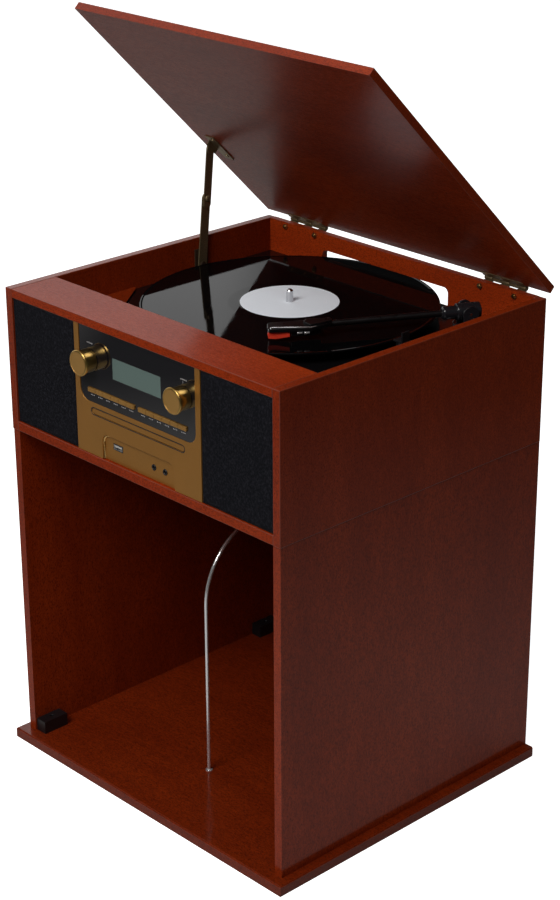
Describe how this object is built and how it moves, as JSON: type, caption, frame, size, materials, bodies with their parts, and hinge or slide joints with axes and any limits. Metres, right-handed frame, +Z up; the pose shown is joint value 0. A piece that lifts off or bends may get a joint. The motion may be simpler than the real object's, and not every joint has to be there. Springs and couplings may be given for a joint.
{
  "type": "radio phonograph console",
  "caption": "Mahogany-veneered radio phonograph console: open record stand with a wire divider, gold-fronted radio unit, turntable under a lid held open by a stay.",
  "frame": {"origin": "on the floor, under the middle of the radio unit", "axes": "+X to the right as seen from the front, +Y to the back, +Z up"},
  "size_m": [0.4124, 0.3833, 0.7749],
  "materials": {
    "mahogany": "satin lacquered mahogany veneer",
    "inner_wood": "satin stained veneer",
    "fastener_steel": "zinc plated",
    "divider_chrome": "polished wire",
    "black_plastic": "satin moulded",
    "grille_cloth": "woven speaker cloth",
    "speaker_cone": "matt",
    "gold_face": "satin antique gold",
    "black_gloss": "glossy",
    "lcd_glass": "grey-green display glass",
    "circuit_board": "coated board",
    "pulley_brass": "turned",
    "belt_rubber": "matt",
    "mat_rubber": "matt",
    "polished_steel": "polished",
    "platter_metal": "turned",
    "vinyl": "glossy grooved",
    "stylus_red": "translucent red",
    "antique_brass": "antique bronze plating"
  },
  "bodies": {
    "cabinet": {"base_board": "mahogany", "case_screws": "fastener_steel", "stand_side_left": "mahogany", "stand_side_right": "mahogany", "stand_back_panel": "inner_wood", "corner_blocks": "black_plastic", "record_divider": "divider_chrome", "unit_side_left": "mahogany", "unit_side_right": "mahogany", "unit_bottom_board": "mahogany", "unit_top_board": "mahogany", "well_front_board": "inner_wood", "unit_back_panel": "inner_wood", "front_baffle": "inner_wood", "grilles": "grille_cloth", "speakers": "speaker_cone", "fascia": "gold_face", "display_panel": "black_gloss", "lcd_screen": "lcd_glass", "front_sockets": "black_plastic", "control_board": "circuit_board", "cd_mechanism": "fastener_steel", "power_supply": "fastener_steel", "rear_socket_plate": "black_plastic", "deck_plate": "black_plastic", "motor": "fastener_steel", "drive_belt": "belt_rubber", "tonearm_base": "black_plastic", "arm_rest": "black_plastic", "hinge_box_leaves": "antique_brass", "stay_wall_bracket": "antique_brass"},
    "lid": {"lid": "mahogany", "hinge_lid_leaves": "antique_brass", "stay_lid_bracket": "antique_brass"},
    "stay_lower": {"stay_lower_arm": "antique_brass"},
    "stay_upper": {"stay_upper_arm": "antique_brass"},
    "platter": {"spindle": "polished_steel", "platter": "platter_metal", "platter_mat": "mat_rubber", "vinyl_record": "vinyl"},
    "pulley": {"motor_pulley": "pulley_brass"},
    "gimbal": {"tonearm_gimbal": "black_plastic"},
    "tonearm": {"tonearm": "black_plastic", "cartridge": "stylus_red"},
    "cd_tray": {"cd_tray": "gold_face"},
    "knob_left": {"knob_left": "gold_face"},
    "knob_right": {"knob_right": "gold_face"},
    "speed_switch": {"speed_switch": "black_plastic"},
    "key_1": {"key_1": "gold_face"},
    "key_2": {"key_2": "gold_face"},
    "key_3": {"key_3": "gold_face"},
    "key_4": {"key_4": "gold_face"},
    "key_5": {"key_5": "gold_face"},
    "key_6": {"key_6": "gold_face"},
    "key_7": {"key_7": "gold_face"},
    "key_8": {"key_8": "gold_face"},
    "key_9": {"key_9": "gold_face"},
    "key_10": {"key_10": "gold_face"},
    "key_11": {"key_11": "gold_face"},
    "key_12": {"key_12": "gold_face"}
  },
  "joints": [
    {"name": "lid_hinge", "type": "hinge", "parent": "cabinet", "child": "lid", "pos_m": [0, 0.1846, 0.51065], "axis": [1, 0, 0], "range_deg": [0, 44.85]},
    {"name": "stay_lower_turn", "type": "hinge", "parent": "cabinet", "child": "stay_lower", "pos_m": [-0.1853, 0.07, 0.4795], "axis": [1, 0, 0], "range_deg": [0, 94.1]},
    {"name": "stay_upper_turn", "type": "hinge", "parent": "lid", "child": "stay_upper", "pos_m": [-0.1833, 0.08204, 0.60407], "axis": [1, 0, 0], "range_deg": [-103.8, 0]},
    {"name": "platter_spin", "type": "hinge", "parent": "cabinet", "child": "platter", "pos_m": [-0.0197, 0.0403, 0.4729], "axis": [0, 0, 1], "continuous": true},
    {"name": "pulley_spin", "type": "hinge", "parent": "cabinet", "child": "pulley", "pos_m": [-0.08725, 0.0013, 0.4729], "axis": [0, 0, 1], "continuous": true},
    {"name": "arm_swing", "type": "hinge", "parent": "cabinet", "child": "gimbal", "pos_m": [0.147, 0.12, 0.4729], "axis": [0, 0, 1], "range_deg": [-15, 30]},
    {"name": "arm_lift", "type": "hinge", "parent": "gimbal", "child": "tonearm", "pos_m": [0.147, 0.12, 0.498], "axis": [-0.8678, 0.497, 0], "range_deg": [0, 1.8]},
    {"name": "cd_tray_slide", "type": "slide", "parent": "cabinet", "child": "cd_tray", "axis": [0, -1, 0], "range_m": [0, 0.125]},
    {"name": "knob_left_turn", "type": "hinge", "parent": "cabinet", "child": "knob_left", "pos_m": [-0.068, -0.1787, 0.467], "axis": [0, -1, 0], "range_deg": [-135, 135]},
    {"name": "knob_right_turn", "type": "hinge", "parent": "cabinet", "child": "knob_right", "pos_m": [0.068, -0.1787, 0.467], "axis": [0, -1, 0], "range_deg": [-135, 135]},
    {"name": "speed_switch_turn", "type": "hinge", "parent": "cabinet", "child": "speed_switch", "pos_m": [0.162, -0.085, 0.4729], "axis": [0, 0, 1], "range_deg": [-30, 30]},
    {"name": "key_1_press", "type": "slide", "parent": "cabinet", "child": "key_1", "axis": [0, 1, 0], "range_m": [0, 0.001], "stiffness_N_per_m": 300},
    {"name": "key_2_press", "type": "slide", "parent": "cabinet", "child": "key_2", "axis": [0, 1, 0], "range_m": [0, 0.001], "stiffness_N_per_m": 300},
    {"name": "key_3_press", "type": "slide", "parent": "cabinet", "child": "key_3", "axis": [0, 1, 0], "range_m": [0, 0.001], "stiffness_N_per_m": 300},
    {"name": "key_4_press", "type": "slide", "parent": "cabinet", "child": "key_4", "axis": [0, 1, 0], "range_m": [0, 0.001], "stiffness_N_per_m": 300},
    {"name": "key_5_press", "type": "slide", "parent": "cabinet", "child": "key_5", "axis": [0, 1, 0], "range_m": [0, 0.001], "stiffness_N_per_m": 300},
    {"name": "key_6_press", "type": "slide", "parent": "cabinet", "child": "key_6", "axis": [0, 1, 0], "range_m": [0, 0.001], "stiffness_N_per_m": 300},
    {"name": "key_7_press", "type": "slide", "parent": "cabinet", "child": "key_7", "axis": [0, 1, 0], "range_m": [0, 0.001], "stiffness_N_per_m": 300},
    {"name": "key_8_press", "type": "slide", "parent": "cabinet", "child": "key_8", "axis": [0, 1, 0], "range_m": [0, 0.001], "stiffness_N_per_m": 300},
    {"name": "key_9_press", "type": "slide", "parent": "cabinet", "child": "key_9", "axis": [0, 1, 0], "range_m": [0, 0.001], "stiffness_N_per_m": 300},
    {"name": "key_10_press", "type": "slide", "parent": "cabinet", "child": "key_10", "axis": [0, 1, 0], "range_m": [0, 0.001], "stiffness_N_per_m": 300},
    {"name": "key_11_press", "type": "slide", "parent": "cabinet", "child": "key_11", "axis": [0, 1, 0], "range_m": [0, 0.001], "stiffness_N_per_m": 300},
    {"name": "key_12_press", "type": "slide", "parent": "cabinet", "child": "key_12", "axis": [0, 1, 0], "range_m": [0, 0.001], "stiffness_N_per_m": 300}
  ],
  "couplings": [
    {"joint": "stay_lower_turn", "follows": "lid_hinge", "ratio": 2.0943},
    {"joint": "stay_upper_turn", "follows": "lid_hinge", "ratio": -2.311},
    {"joint": "pulley_spin", "follows": "platter_spin", "ratio": 11.273}
  ]
}
